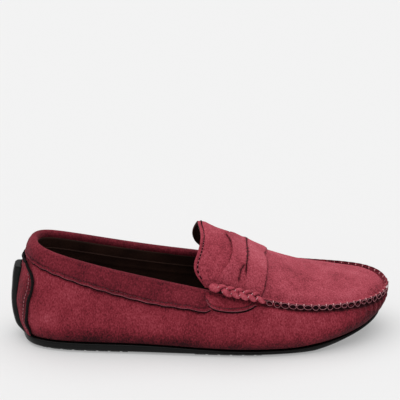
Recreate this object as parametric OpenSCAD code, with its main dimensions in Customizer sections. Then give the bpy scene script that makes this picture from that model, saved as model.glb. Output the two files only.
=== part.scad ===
// Penny loafer, driving style, right shoe, built as the separate pieces a shoemaker closes together.
// Millimetres, +Z up, toe towards +X, inner (medial) side towards +Y, ground at z = 0.
// Every upper piece is cut from one closed surface, the last, so that layers follow each other.

/* [Overall] */
// Length from the back of the heel guard to the toe
shoe_length = 288; // [240:1:320]
// Width across the ball of the foot
ball_width = 100; // [84:1:120]
// Height of the back of the collar above the ground
heel_height = 84; // [66:1:100]
// Height of the tongue's top above the ground
instep_height = 87; // [78:1:104]

/* [Sole] */
// Sole thickness under the heel
sole_heel = 7.5; // [6:0.5:12]
// Sole thickness under the ball
sole_ball = 4.8; // [4:0.2:9]
// Lift of the sole under the toe tip
toe_spring = 12.5; // [6:0.5:16]
// Rubber lip standing out beyond the upper
sole_lip = 1.6; // [0.8:0.2:3]
// Height of the two tread plates
tread_h = 1.2; // [0.8:0.2:2]
// Width of the grooves in the tread plates
groove_w = 1.8; // [1:0.2:3]

/* [Leather] */
// Suede of the upper
suede_t = 1.5; // [1:0.1:2.2]
// Dark lining leather
lining_t = 0.9; // [0.6:0.1:1.4]
// Gap kept between neighbouring layers
layer_gap = 0.2; // [0.1:0.05:0.4]
// Seam thread diameter
thread_d = 0.9; // [0.6:0.1:1.4]

/* [Collar] */
// Height of the folded band outside
band_h = 18; // [10:1:24]
// Thickness of the padding inside the collar
collar_pad = 1.1; // [0.8:0.1:4]
// Depth of the band's turned-in leg inside
band_tuck = 4.2; // [3.6:0.2:8]

/* [Heel] */
// Thickness of the rubber guard up the back
guard_t = 3.2; // [2:0.2:5]
// Half width of the guard, as a share of the way round the last
guard_reach = 0.0165; // [0.012:0.0005:0.025]
// Half width of the suede heel patch, same measure
patch_reach = 0.054; // [0.045:0.001:0.07]

/* [Saddle] */
// Where the strap starts, ahead of the middle of the shoe
strap_back = 18; // [10:1:26]
// Width of the strap along the shoe
strap_w = 29; // [22:1:36]
// Length of the slot cut in the strap
slot_len = 42; // [24:1:52]
// Width of the slot
slot_w = 2; // [1:0.2:4]
// Thickness of the rolled trim at the strap's ends
roll_d = 7; // [5:0.5:9]
// Wraps in each rolled trim
roll_wraps = 6; // [4:1:9]

/* [Stitching] */
// Stitches round the apron seam
apron_stitches = 34; // [20:1:44]
// Stitches along one side of the collar band
collar_stitches = 22; // [12:1:34]
// Stitches along the tongue's edge
tongue_stitches = 22; // [12:1:30]

/* [Hidden] */

// Sizes the stations below were drawn for; the named sizes scale them.
drawn_length = 288;
drawn_width = 100;
drawn_heel = 84;
drawn_instep = 87;
kx = shoe_length / drawn_length;
ky = ball_width / drawn_width;
kz = heel_height / drawn_heel;
kc = instep_height / drawn_instep;

// Last stations from the heel, along the outer side, round the toe and back along the inner side.
// Each row: feather edge x, y, top edge x, y, z, and how far the wall swells between them.
STATIONS = [
    [-136, 0, -129, 0, 80.6, 8], [-131, -26.5, -122, -19, 78.6, 5.5],
    [-103, -35, -99, -25.5, 72, 4.5], [-68, -38, -68, -28.5, 64, 4.2],
    [-32, -41.5, -34, -32, 57, 4], [4, -45.5, -2, -35.5, 51, 4.5],
    [38, -48.5, 30, -39, 44.5, 5.5], [72, -45.5, 66, -41.5, 37.2, 6],
    [100, -36.5, 98, -36.5, 34.8, 5], [127, -20, 131, -21, 33.2, 4],
    [140, 5, 148, 6, 32.6, 3], [131, 29, 138, 31, 36.8, 3],
    [106, 41, 108, 41.5, 37, 5], [73, 46, 71, 43, 38.4, 6],
    [38, 44, 31, 40, 45.6, 6], [4, 37, -2, 36, 52.5, 5],
    [-32, 33, -34, 31.5, 58.6, 4], [-68, 34, -68, 28, 65.6, 4.2],
    [-103, 32.5, -99, 25, 72.6, 4.5], [-131, 24.5, -122, 18.5, 79.2, 5.5]];
// How far the wall's swell sits below its middle
swell_low = 0.45;
scale_row = [kx, ky, kx, ky, kz, ky];
LAST = [for (r = STATIONS) [for (k = [0:5]) r[k] * scale_row[k]]];
n_last = len(LAST);

// Height of the middle of the apron and tongue along the shoe.
CREST = [
    [-10, 89], [3.7, 86.4], [12, 81.3], [20, 77.8], [31, 70.9], [41.6, 65.2],
    [52, 59.6], [63, 55.4], [74, 52], [84, 50], [95, 47.5], [108, 45],
    [120, 43], [133, 39.5], [143, 34.5]];
crest_x = [for (c = CREST) c[0] * kx];
crest_h = [for (c = CREST) c[1] * kc];

// Where the throat of the shoe crosses the last, both sides
throat_u = 0.257;
// Back edge of the tongue: from its middle (0) to where it meets the wall (1)
TONGUE_EDGE = [[0, 0.2506], [0.3, 0.2512], [0.5, 0.249], [0.7, 0.2455], [0.85, 0.2475], [1, 0.2595]];
// The tongue runs under the strap, where the apron takes over
tongue_front = 0.295;
apron_back = 0.2975;
apron_tip = 0.488;

wrap_top = 0.3;
wrap_under_collar = 6.5;
turn_in = 11;
lining_in = suede_t + layer_gap;
// The collar folds one suede over another with the padding inside
collar_w = 3 * suede_t + 4 * layer_gap + collar_pad;
counter_in = lining_in + 0.3;
quarter_in = collar_w - suede_t - layer_gap - lining_t;
counter_t = quarter_in - counter_in - 0.3;
floor_t = 1.6;
foam_t = 3;
sock_t = 1;
bed_clear = 0.9;
eps = 0.002;

function mod1(a) = a - floor(a);
function sstep(a, b, x) = let (t = min(1, max(0, (x - a) / (b - a)))) t * t * (3 - 2 * t);
function unit(v) = v / max(norm(v), 0.000001);
function mix(a, b, t) = a + (b - a) * t;

// Uniform cubic spline round the closed table of stations
function at_last(u) =
    let (t = mod1(u) * n_last, i = floor(t), f = t - i,
         a = LAST[(i + n_last - 1) % n_last], b = LAST[i % n_last],
         c = LAST[(i + 1) % n_last], d = LAST[(i + 2) % n_last], g = 1 - f)
    (g * g * g * a + (3 * f * f * f - 6 * f * f + 4) * b
     + (-3 * f * f * f + 3 * f * f + 3 * f + 1) * c + f * f * f * d) / 6;

function ground_z(x) = toe_spring * pow(min(1.3, max(0, (x / kx - 60) / 76)), 2);
function sole_z(x) = ground_z(x) + sole_ball
    + (sole_heel - sole_ball) * (1 - sstep(-60 * kx, 30 * kx, x));

// Wall of the last: v = 0 at the feather edge, v = 1 at the top edge
function wall(u, v) =
    let (p = at_last(u), q = at_last(u + eps) - at_last(u - eps),
         f = [p[0], p[1], sole_z(p[0])], t = [p[2], p[3], p[4]],
         n = unit([q[1] + q[3], -q[0] - q[2], 0]))
    f + (t - f) * v + n * (p[5] * 4 * v * (1 - v) * (1 + swell_low * (1 - 2 * v)));
function wall_out(u, v) =
    unit(cross(wall(u + eps, v) - wall(u - eps, v), wall(u, v + 0.02) - wall(u, v - 0.02)));
function wall_h(u) = norm(wall(u, 1) - wall(u, 0));
// Point on the wall: s below the top edge, d outwards
function on_wall(u, s, d) = let (v = 1 - s / wall_h(u)) wall(u, v) + d * wall_out(u, v);
// Point at a share v of the wall's height, d outwards
function at_wall(u, v, d) = wall(u, v) + d * wall_out(u, v);

// Top of the last: spans from the outer to the inner top edge over the crest
function top(p, t) =
    let (a = wall(p, 1), b = wall(1 - p, 1), m = (a + b) / 2,
         h = max(0.4, lookup_crest(m[0]) - m[2]), q = 2.8 - 0.6 * sstep(40, 110, m[0] / kx))
    mix(a, b, t) + [0, 0, h * (1 - pow(abs(2 * t - 1), q))];
function lookup_crest(x) = lookup(x, [for (i = [0:len(CREST) - 1]) [crest_x[i], crest_h[i]]]);
function top_up(p, t) =
    unit(cross(top(p + eps, t) - top(p - eps, t), top(p, t + 0.01) - top(p, t - 0.01)));
function on_top(p, t, d) = top(p, t) + d * top_up(p, t);
function span(p) = norm(wall(p, 1) - wall(1 - p, 1));
// The station whose middle lies at x along the shoe
function p_at(x, lo = 0.2, hi = 0.5, k = 14) =
    k == 0 ? (lo + hi) / 2
    : let (m = (lo + hi) / 2) top(m, 0.5)[0] < x ? p_at(x, m, hi, k - 1) : p_at(x, lo, m, k - 1);

// Closed skin between an outer and an inner grid of points.
module skin(A, B, ring = false) {
    n = len(A);
    m = len(A[0]);
    o = n * m;
    rows = ring ? n : n - 1;
    points = concat([for (r = A) each r], [for (r = B) each r]);
    faces = concat(
        [for (i = [0:rows - 1], j = [0:m - 2]) let (k = (i + 1) % n) each
            [[i * m + j, i * m + j + 1, k * m + j + 1], [i * m + j, k * m + j + 1, k * m + j]]],
        [for (i = [0:rows - 1], j = [0:m - 2]) let (k = (i + 1) % n) each
            [[o + i * m + j, o + k * m + j + 1, o + i * m + j + 1],
             [o + i * m + j, o + k * m + j, o + k * m + j + 1]]],
        [for (i = [0:rows - 1]) let (k = (i + 1) % n) each
            [[i * m, k * m, o + k * m], [i * m, o + k * m, o + i * m],
             [i * m + m - 1, o + k * m + m - 1, k * m + m - 1],
             [i * m + m - 1, o + i * m + m - 1, o + k * m + m - 1]]],
        ring ? [] : [for (j = [0:m - 2]) each
            [[j, o + j + 1, j + 1], [j, o + j, o + j + 1],
             [(n - 1) * m + j, (n - 1) * m + j + 1, o + (n - 1) * m + j + 1],
             [(n - 1) * m + j, o + (n - 1) * m + j + 1, o + (n - 1) * m + j]]]);
    polyhedron(points = points, faces = faces);
}

// Thread laid through points, with a small square section
module thread(pts, r = thread_d / 2) {
    n = len(pts);
    dirs = [for (i = [0:n - 1]) unit(pts[min(n - 1, i + 1)] - pts[max(0, i - 1)])];
    side = [for (i = [0:n - 1]) unit(cross(dirs[i], abs(dirs[i][2]) > 0.9 ? [1, 0, 0] : [0, 0, 1]))];
    ring = [for (i = [0:n - 1], k = [0:3]) pts[i]
        + r * (cos(90 * k + 45) * side[i] + sin(90 * k + 45) * cross(side[i], dirs[i]))];
    faces = concat([[0, 1, 2, 3]], [[4 * n - 1, 4 * n - 2, 4 * n - 3, 4 * n - 4]],
        [for (i = [0:n - 2], k = [0:3]) let (l = (k + 1) % 4) each
            [[4 * i + k, 4 * i + 4 + k, 4 * i + 4 + l], [4 * i + k, 4 * i + 4 + l, 4 * i + l]]]);
    polyhedron(points = ring, faces = faces);
}

// Flat-lying layer inside the feather edge, between two heights over the sole
function bed_edge(u, inset) =
    let (p = at_last(u), q = at_last(u + eps) - at_last(u - eps), n = unit([q[1], -q[0]]))
    [p[0] - n[0] * inset, p[1] - n[1] * inset];
function bed_row(p, inset, z) =
    let (a = bed_edge(p, inset), b = bed_edge(1 - p, inset))
    [for (t = [0:6]) let (c = mix(a, b, t / 6)) [c[0], c[1], sole_z(c[0]) + z]];
bed_p = [for (i = [0:32]) 0.5 * (1 - cos(180 * (0.06 + 0.88 * i / 32))) / 2];
module bed(inset, z_low, z_high) {
    skin([for (p = bed_p) bed_row(p, inset, z_low)], [for (p = bed_p) bed_row(p, inset, z_high)]);
}

// ---- sole ----

function sole_row(p, out, lift) =
    let (a = bed_edge(p, -out), b = bed_edge(1 - p, -out))
    [for (t = [0:8]) let (c = mix(a, b, t / 8)) [c[0], c[1], lift < 0
        ? max(tread_h, ground_z(c[0])) : sole_z(c[0]) - lift]];

module outsole() {
    ps = [for (i = [0:44]) 0.25 * (1 - cos(180 * (0.035 + 0.93 * i / 44)))];
    color("#161518")
    skin([for (p = ps) sole_row(p, sole_lip, -1)],
         [for (p = ps) sole_row(p, sole_lip, layer_gap)]);
}

module tread_outline(x_from, x_to) {
    inset = 2;
    intersection() {
        polygon([for (i = [0:59]) bed_edge(i / 60, inset)]);
        translate([x_from * kx, -80 * ky]) square([(x_to - x_from) * kx, 160 * ky]);
    }
}

module tread(x_from, x_to) {
    pitch = 9;
    count = floor((x_to - x_from) * kx / pitch);
    linear_extrude(tread_h) difference() {
        tread_outline(x_from, x_to);
        for (i = [1:count]) translate([x_from * kx + i * pitch - groove_w / 2, -80 * ky])
            square([groove_w, 65 * ky]);
        for (i = [1:count]) translate([x_from * kx + i * pitch - groove_w / 2, 15 * ky])
            square([groove_w, 65 * ky]);
    }
}

module tread_plates() {
    color("#1c1b1e") {
        tread(-124, -56);
        tread(-6, 44);
    }
}

module heel_guard() {
    us = [for (i = [-5:5]) i / 5];
    vs = [for (j = [0:11]) 0.012 + 0.675 * j / 11];
    low = suede_t + 2 * layer_gap;
    function flare(v) = guard_reach * (1 + 0.75 * (1 - sstep(0, 0.32, v)));
    color("#161518")
    skin([for (u = us) [for (v = vs) at_wall(flare(v) * u, v, low + guard_t * (1 - 0.25 * u * u))]],
         [for (u = us) [for (v = vs) at_wall(flare(v) * u, v, low)]]);
}

module insole_board() {
    color("#8b7355") bed(suede_t + 4, suede_t + 2 * layer_gap, suede_t + 2 * layer_gap + floor_t);
}

module footbed_foam() {
    low = suede_t + 3 * layer_gap + floor_t;
    color("#3a3a3e") bed(quarter_in + lining_t + bed_clear, low, low + foam_t);
}

module sock_lining() {
    low = suede_t + 4 * layer_gap + floor_t + foam_t;
    color("#241a18") bed(quarter_in + lining_t + bed_clear, low, low + sock_t);
}

// ---- upper ----

// The wrap: one hide round the foot, turned in under it, its top edge left to the seam or collar
function wrap_s(u) = let (k = min(u, 1 - u)) wrap_under_collar
    + (wrap_top - wrap_under_collar) * sstep(throat_u - 0.002, throat_u + 0.008, k);
function wrap_row(u, d) =
    let (e = bed_edge(u, turn_in), v1 = 1 - wrap_s(u) / wall_h(u))
    concat([[e[0], e[1], sole_z(e[0]) + (d < 0 ? suede_t : 0)]],
           [for (j = [0:9]) let (v = v1 * (j == 0 ? 0.025 : j / 9), q = at_wall(u, v, d))
               [q[0], q[1], max(q[2], sole_z(q[0]) + (d < 0 ? suede_t : 0.02))]]);
module moccasin_wrap() {
    n = 64;
    us = [for (i = [0:n - 1]) i / n];
    color("#7d2a38")
    skin([for (u = us) wrap_row(u, 0)], [for (u = us) wrap_row(u, -suede_t)], true);
}

// A sheet on the top of the last, kept edge mm clear of the seam on each side.
// Its back edge follows a curve when one is given, from the middle (0) to the seam (1).
module top_sheet(p0, p1, n, edge, d0, d1, m = 10, curve = undef) {
    function back(j) = curve == undef ? p0 : lookup(abs(2 * j / m - 1), curve);
    function p_of(i, j) = mix(back(j), p1, i / n);
    function t_of(p, j) = let (e = min(0.45, edge / span(p))) e + (1 - 2 * e) * j / m;
    function sheet(d) = [for (i = [0:n]) [for (j = [m:-1:0])
        let (p = p_of(i, j)) on_top(p, t_of(p, j), d)]];
    skin(sheet(d1), sheet(d0));
}

apron_edge = 2.2;
tongue_side = 0.6;
module apron() {
    color("#93404c") top_sheet(apron_back, apron_tip, 22, apron_edge, -suede_t, 0);
}

module tongue() {
    color("#87343f") top_sheet(0, tongue_front, 8, tongue_side, -suede_t, 0, 14, TONGUE_EDGE);
}

module tongue_lining() {
    color("#241a18")
    top_sheet(0, tongue_front, 8, tongue_side + 1.8, -lining_in - lining_t, -lining_in, 14, TONGUE_EDGE);
}

module apron_lining() {
    color("#241a18")
    top_sheet(apron_back, apron_tip - 0.014, 21, apron_edge + 1.6, -lining_in - lining_t - layer_gap,
              -lining_in - layer_gap);
}

// Lining of the side walls, from over the insole board to near the top edge
module wall_lining(u0, u1, n, s_top, d) {
    us = [for (i = [0:n]) mix(u0, u1, i / n)];
    function rows(u, e) = let (v1 = 1 - s_top / wall_h(u), v0 = (lining_foot) / wall_h(u))
        [for (j = [0:6]) at_wall(u, mix(v0, v1, j / 6), e)];
    skin([for (u = us) rows(u, -d)], [for (u = us) rows(u, -d - lining_t)]);
}
lining_foot = suede_t + floor_t + 3 * layer_gap + 0.6;

module toe_side_lining() {
    color("#241a18") wall_lining(0.258, 0.742, 30, 3.4, lining_in);
}

module quarter_lining() {
    color("#1d1615") wall_lining(-0.252, 0.252, 34, band_tuck + 0.6, quarter_in);
}

module heel_counter() {
    us = [for (i = [-8:8]) 0.11 * i / 8];
    color("#6b5a44")
    skin([for (u = us) [for (j = [0:6]) at_wall(u, 0.09 + 0.53 * j / 6, -counter_in)]],
         [for (u = us) [for (j = [0:6]) at_wall(u, 0.09 + 0.53 * j / 6, -counter_in - counter_t)]]);
}

module collar_foam() {
    us = [for (i = [-17:17]) 0.235 * i / 17];
    d_in = 2 * (suede_t + layer_gap) - collar_w;
    rows = [16, 12, 8, 6, 3];
    color("#3a3a3e")
    skin([for (u = us) [for (s = rows) on_wall(u, s, -lining_in - layer_gap + (s < 4 ? 1.2 : 0))]],
         [for (u = us) [for (s = rows) on_wall(u, s, d_in)]]);
}

// The band folds over the padded edge: outside leg, round top, inside leg
function band_path(r_out) =
    let (c = collar_w / 2, mid = suede_t + layer_gap - c)
    concat([[band_h, mid + r_out], [band_h * 0.66, mid + r_out], [band_h * 0.4, mid + r_out]],
           [for (a = [0:30:180]) [c - r_out * sin(a), mid + r_out * cos(a)]],
           [[(c + band_tuck) / 2, mid - r_out], [band_tuck, mid - r_out]]);
module collar_band() {
    us = [for (i = [-20:20]) throat_u * i / 20];
    color("#7d2a38")
    skin([for (u = us) [for (q = band_path(collar_w / 2)) on_wall(u, q[0], q[1])]],
         [for (u = us) [for (q = band_path(collar_w / 2 - suede_t)) on_wall(u, q[0], q[1])]]);
}

module heel_patch() {
    n = 8;
    us = [for (i = [-n:n]) patch_reach * i / n];
    v1 = 0.73;
    color("#7d2a38")
    skin([for (u = us) [for (j = [0:8]) at_wall(u, mix(0.012, v1, j / 8), layer_gap + suede_t)]],
         [for (u = us) [for (j = [0:8]) at_wall(u, mix(0.012, v1, j / 8), layer_gap)]]);
}

// ---- saddle ----

strap_p0 = p_at(strap_back * kx);
strap_p1 = p_at((strap_back + strap_w) * kx);
strap_edge = roll_d * 0.23;
slot_p = (strap_p0 + strap_p1) / 2 + 0.005;

module saddle_strap() {
    c = top(slot_p, 0.5);
    color("#93404c") difference() {
        top_sheet(strap_p0, strap_p1, 7, strap_edge, layer_gap, layer_gap + suede_t, 14);
        translate([c[0], c[1], 0]) linear_extrude(2 * instep_height)
            polygon([[0, -slot_len / 2], [slot_w / 2, 0], [0, slot_len / 2], [-slot_w / 2, 0]]);
    }
}

// Rounded tabs that carry the strap's ends down onto the sides
module strap_lobe(side) {
    u_mid = (strap_p0 + strap_p1) / 2 - 0.012;
    half = (strap_p1 - strap_p0) / 2 * 1.35;
    ks = [for (i = [-8:8]) i / 8];
    function u_of(k) = side > 0 ? 1 - u_mid - half * k : u_mid + half * k;
    function low(k) = 6.8 + 6 * sqrt(max(0, 1 - k * k * 0.94));
    function row(k, d) = [for (j = [0:4]) on_wall(u_of(k), mix(low(k), 6.2, j / 4), d)];
    order = side > 0 ? [for (i = [16:-1:0]) ks[i]] : ks;
    color("#7d2a38")
    skin([for (k = order) row(k, layer_gap + suede_t)], [for (k = order) row(k, layer_gap)]);
}
module strap_lobe_lateral() { strap_lobe(-1); }
module strap_lobe_medial() { strap_lobe(1); }

// Rolled trim: a cord of wraps lying over the seam at each end of the strap
module beef_roll(side) {
    u0 = p_at(7 * kx);
    u1 = p_at(48 * kx);
    steps = roll_wraps * 4;
    sides = 8;
    function u_of(k) = side > 0 ? 1 - mix(u0, u1, k) : mix(u0, u1, k);
    function centre(k) = let (u = u_of(k), p = min(u, 1 - u), up = top_up(p, u < 0.5 ? 0.03 : 0.97))
        wall(u, 1) + unit(wall_out(u, 0.97) + up) * (roll_d / 2 + 2 * layer_gap);
    function radius(k) = roll_d / 2 * (0.86 + 0.14 * abs(sin(180 * roll_wraps * k)))
        * (0.72 + 0.28 * sin(180 * min(1, max(0, k))));
    function ring(k) = let (c = centre(k), d = unit(centre(k + 0.02) - centre(k - 0.02)),
                            a = unit(cross(d, [0, 0, 1])), b = cross(a, d))
        [for (j = [0:sides - 1]) c + radius(k) * (cos(360 * j / sides) * a + sin(360 * j / sides) * b)];
    rings = [for (i = [0:steps]) ring(i / steps)];
    n = steps + 1;
    ends = concat(rings, [[centre(0)], [centre(1)]]);
    pts = [for (r = ends) each r];
    faces = concat(
        [for (i = [0:n - 2], j = [0:sides - 1]) let (l = (j + 1) % sides) each
            [[i * sides + j, (i + 1) * sides + l, (i + 1) * sides + j],
             [i * sides + j, i * sides + l, (i + 1) * sides + l]]],
        [for (j = [0:sides - 1]) [n * sides, (j + 1) % sides, j]],
        [for (j = [0:sides - 1]) [n * sides + 1, (n - 1) * sides + j, (n - 1) * sides + (j + 1) % sides]]);
    color("#7d2a38") polyhedron(points = pts, faces = faces);
}
module beef_roll_lateral() { beef_roll(-1); }
module beef_roll_medial() { beef_roll(1); }

// ---- stitching ----

// Point on the top, e mm in from the seam, square to it
function seam_in(u, e) =
    let (p = min(u, 1 - u, apron_tip), t = u < 0.5 ? 0 : 1,
         a = top(p, mix(t, 0.5, 2 * e / span(p))) - top(p, t),
         rise = a[2] / norm([a[0], a[1]]), n = wall_out(u, 0.95), h = unit([n[0], n[1], 0]))
    wall(u, 1) - h * e + [0, 0, e * min(rise, 1.4)];

module apron_seam_thread() {
    u0 = strap_p1 + 0.012;
    lift = thread_d / 2 + 0.15;
    color("#c98a8f") for (i = [0:apron_stitches - 1]) {
        u = mix(u0, 1 - u0, (i + 0.5) / apron_stitches);
        over = unit(wall_out(u, 0.95) + [0, 0, 1]) * (lift + 0.5);
        thread([on_wall(u, 2.6, lift), wall(u, 1) + over, seam_in(u, 3.6) + [0, 0, 2 * lift + 0.5]]);
    }
}

// A row of short stitches lying on the wall, s below the top edge
module wall_stitches(u0, u1, count, s, d, fill = 0.6) {
    for (i = [0:count - 1]) {
        a = mix(u0, u1, i / count);
        b = mix(u0, u1, (i + fill) / count);
        thread([on_wall(a, s, d), on_wall(b, s, d)]);
    }
}

module collar_thread() {
    d = suede_t + layer_gap + thread_d / 2 + 0.08;
    color("#a85f68") {
        wall_stitches(patch_reach + 0.01, throat_u - 0.008, collar_stitches, band_h - 2.2, d);
        wall_stitches(-throat_u + 0.008, -patch_reach - 0.01, collar_stitches, band_h - 2.2, d);
    }
}

module tongue_thread() {
    e = 0.07;
    d = thread_d / 2 + 0.08;
    function p_of(t) = 0.006 + lookup(abs(2 * t - 1), TONGUE_EDGE);
    color("#a85f68") for (i = [0:tongue_stitches - 1])
        thread([for (k = [0, 0.6]) let (t = mix(e, 1 - e, (i + k) / tongue_stitches)) on_top(p_of(t), t, d)]);
}

module slot_thread() {
    reach = (slot_len / 2 + 1) / span(slot_p);
    d = layer_gap + suede_t + thread_d / 2 + 0.08;
    step_p = 2.6 / (2.2 * shoe_length);
    color("#c98a8f") for (side = [-1, 1], i = [0:9])
        thread([for (k = [0, 0.6])
            on_top(slot_p + side * step_p, mix(0.5 - reach, 0.5 + reach, (i + k) / 10), d)]);
}

module lobe_thread() {
    u_mid = (strap_p0 + strap_p1) / 2 - 0.012;
    half = (strap_p1 - strap_p0) / 2 * 1.2;
    d = layer_gap + suede_t + thread_d / 2 + 0.08;
    function edge(k) = 6.8 + 4.1 * sqrt(max(0, 1 - k * k * 0.94));
    color("#a85f68") for (side = [0, 1], i = [0:11]) {
        k0 = mix(-0.88, 0.88, i / 12);
        k1 = mix(-0.88, 0.88, (i + 0.6) / 12);
        ua = u_mid + half * k0;
        ub = u_mid + half * k1;
        thread([on_wall(side == 0 ? ua : 1 - ua, edge(k0), d),
                on_wall(side == 0 ? ub : 1 - ub, edge(k1), d)]);
    }
}

module heel_patch_thread() {
    d = layer_gap + suede_t + thread_d / 2 + 0.08;
    color("#a85f68") for (side = [-1, 1], i = [0:11])
        thread([for (k = [0, 0.6]) at_wall(side * (patch_reach - 0.007), mix(0.06, 0.7, (i + k) / 12), d)]);
}

outsole();
tread_plates();
heel_guard();
insole_board();
footbed_foam();
sock_lining();
moccasin_wrap();
apron();
tongue();
tongue_lining();
apron_lining();
toe_side_lining();
quarter_lining();
heel_counter();
collar_foam();
collar_band();
heel_patch();
saddle_strap();
strap_lobe_lateral();
strap_lobe_medial();
beef_roll_lateral();
beef_roll_medial();
apron_seam_thread();
collar_thread();
tongue_thread();
slot_thread();
lobe_thread();
heel_patch_thread();
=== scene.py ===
# %% [markdown]
# # A driving-style penny loafer in burgundy suede
# The real shoe is closed like a moccasin: one hide comes up round the foot, a plug (the apron)
# is whip-stitched to its upper edge, and a saddle strap lies across the instep.
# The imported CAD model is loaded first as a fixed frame. Each visible piece is then rebuilt with
# finer shape and finish, and takes the place of its CAD node.

# %% Load the frame
import bpy
import math
import numpy as np
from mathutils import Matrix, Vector


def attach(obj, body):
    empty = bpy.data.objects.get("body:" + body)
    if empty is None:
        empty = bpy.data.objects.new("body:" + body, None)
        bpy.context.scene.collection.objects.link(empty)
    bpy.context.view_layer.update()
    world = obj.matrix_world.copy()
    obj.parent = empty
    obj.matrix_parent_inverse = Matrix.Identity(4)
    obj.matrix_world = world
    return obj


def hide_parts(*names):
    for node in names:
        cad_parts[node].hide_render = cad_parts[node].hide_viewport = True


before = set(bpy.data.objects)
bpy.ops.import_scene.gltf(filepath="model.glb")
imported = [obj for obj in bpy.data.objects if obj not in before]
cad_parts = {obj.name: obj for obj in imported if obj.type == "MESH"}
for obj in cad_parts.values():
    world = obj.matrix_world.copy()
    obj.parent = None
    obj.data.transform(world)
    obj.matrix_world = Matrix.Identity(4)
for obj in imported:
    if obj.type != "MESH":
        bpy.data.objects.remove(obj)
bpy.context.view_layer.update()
MM = 0.001
UP = np.array([0.0, 0.0, 1.0])
print("frame nodes:", len(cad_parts))

# %% [markdown]
# ## Camera
# Shoes are often shown from their outer side, from a little above, with a long lens so that the
# toe and heel keep their true proportions. The camera stands 1.2 m off and looks down 20.7
# degrees. The shoe lies in the lower half of the frame, so the lens aims above it.

# %% Camera
FRAME = 400  # the picture's width and height
FOCAL = 1570.8  # focal length in the same units as the frame
look_down = math.radians(20.7)
look_turn = math.radians(-1.5)
stand_off = 1.2
shoe_middle = Vector((0.0, 0.0, 0.035))
shift_right, shift_down = 1.2, 88.3

to_camera = Vector((math.sin(look_turn) * math.cos(look_down),
                    -math.cos(look_turn) * math.cos(look_down), math.sin(look_down)))
forward = -to_camera
right = forward.cross(Vector((0, 0, 1))).normalized()
up = right.cross(forward)
camera = bpy.data.objects.new("camera", bpy.data.cameras.new("camera"))
camera.data.sensor_width = 36
camera.data.lens = 36 * FOCAL / FRAME
camera.data.clip_start = 0.05
camera.location = (shoe_middle + to_camera * stand_off
                   - right * (shift_right * stand_off / FOCAL)
                   + up * (shift_down * stand_off / FOCAL))
camera.rotation_euler = forward.to_track_quat("-Z", "Y").to_euler()
bpy.context.scene.collection.objects.link(camera)
bpy.context.scene.camera = camera
print("lens", round(camera.data.lens, 1), "mm")

# %% [markdown]
# ## The last
# Every part of an upper is cut to fit one solid foot shape, the last. Here the last is a table of
# stations, from the heel along the outer side, round the toe and back, joined by a smooth spline.
# Each station holds the feather edge (where upper meets sole), the top edge, and how far the wall
# swells between them. Working on one shared surface keeps all layers in step.

# %% Stations and spline, in millimetres
LAST = np.array([
    [-136, 0, -129, 0, 80.6, 8], [-131, -26.5, -122, -19, 78.6, 5.5],
    [-103, -35, -99, -25.5, 72, 4.5], [-68, -38, -68, -28.5, 64, 4.2],
    [-32, -41.5, -34, -32, 57, 4], [4, -45.5, -2, -35.5, 51, 4.5],
    [38, -48.5, 30, -39, 44.5, 5.5], [72, -45.5, 66, -41.5, 37.2, 6],
    [100, -36.5, 98, -36.5, 34.8, 5], [127, -20, 131, -21, 33.2, 4],
    [140, 5, 148, 6, 32.6, 3], [131, 29, 138, 31, 36.8, 3],
    [106, 41, 108, 41.5, 37, 5], [73, 46, 71, 43, 38.4, 6],
    [38, 44, 31, 40, 45.6, 6], [4, 37, -2, 36, 52.5, 5],
    [-32, 33, -34, 31.5, 58.6, 4], [-68, 34, -68, 28, 65.6, 4.2],
    [-103, 32.5, -99, 25, 72.6, 4.5], [-131, 24.5, -122, 18.5, 79.2, 5.5]], float)
CREST = np.array([
    [-10, 89], [3.7, 86.4], [12, 81.3], [20, 77.8], [31, 70.9], [41.6, 65.2],
    [52, 59.6], [63, 55.4], [74, 52], [84, 50], [95, 47.5], [108, 45],
    [120, 43], [133, 39.5], [143, 34.5]], float)


def ease(a, b, x):
    """Goes smoothly from 0 at a to 1 at b."""
    t = np.clip((np.asarray(x, float) - a) / (b - a), 0, 1)
    return t * t * (3 - 2 * t)


def unit(v):
    return v / np.maximum(np.linalg.norm(v, axis=-1, keepdims=True), 1e-9)


def station(u):
    """The last's table at u, blended by a closed cubic B-spline."""
    t = (np.asarray(u, float) % 1.0) * len(LAST)
    i = np.floor(t).astype(int)
    f = (t - i)[..., None]
    a, b, c, d = (LAST[(i + k) % len(LAST)] for k in (-1, 0, 1, 2))
    return ((1 - f)**3 * a + (3 * f**3 - 6 * f**2 + 4) * b
            + (-3 * f**3 + 3 * f**2 + 3 * f + 1) * c + f**3 * d) / 6


def ground_z(x):
    """Toe spring: how far the sole's underside has left the floor."""
    return 12.5 * np.clip((x - 60) / 76, 0, 1.3)**2


def sole_z(x):
    return ground_z(x) + 4.8 + 2.7 * (1 - ease(-60, 30, x))


def wall(u, v):
    """The side of the last: u round it, v from the feather edge up to the top edge."""
    u, v = np.broadcast_arrays(np.asarray(u, float), np.asarray(v, float))
    p, q = station(u), station(u + 0.002) - station(u - 0.002)
    foot = np.stack([p[..., 0], p[..., 1], sole_z(p[..., 0])], -1)
    n = unit(np.stack([q[..., 1] + q[..., 3], -q[..., 0] - q[..., 2], 0 * u], -1))
    bulge = p[..., 5] * 4 * v * (1 - v) * (1 + 0.45 * (1 - 2 * v))
    return foot + (p[..., 2:5] - foot) * v[..., None] + n * bulge[..., None]


def wall_out(u, v):
    u, v = np.broadcast_arrays(np.asarray(u, float), np.asarray(v, float))
    along = wall(u + 0.002, v) - wall(u - 0.002, v)
    return unit(np.cross(along, wall(u, v + 0.02) - wall(u, v - 0.02)))


def wall_height(u):
    return np.linalg.norm(wall(u, 1.0) - wall(u, 0.0), axis=-1)


def on_wall(u, s, d):
    """s mm below the top edge, d mm outwards."""
    v = 1 - np.asarray(s, float) / wall_height(u)
    return wall(u, v) + np.asarray(d, float)[..., None] * wall_out(u, v)


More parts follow.
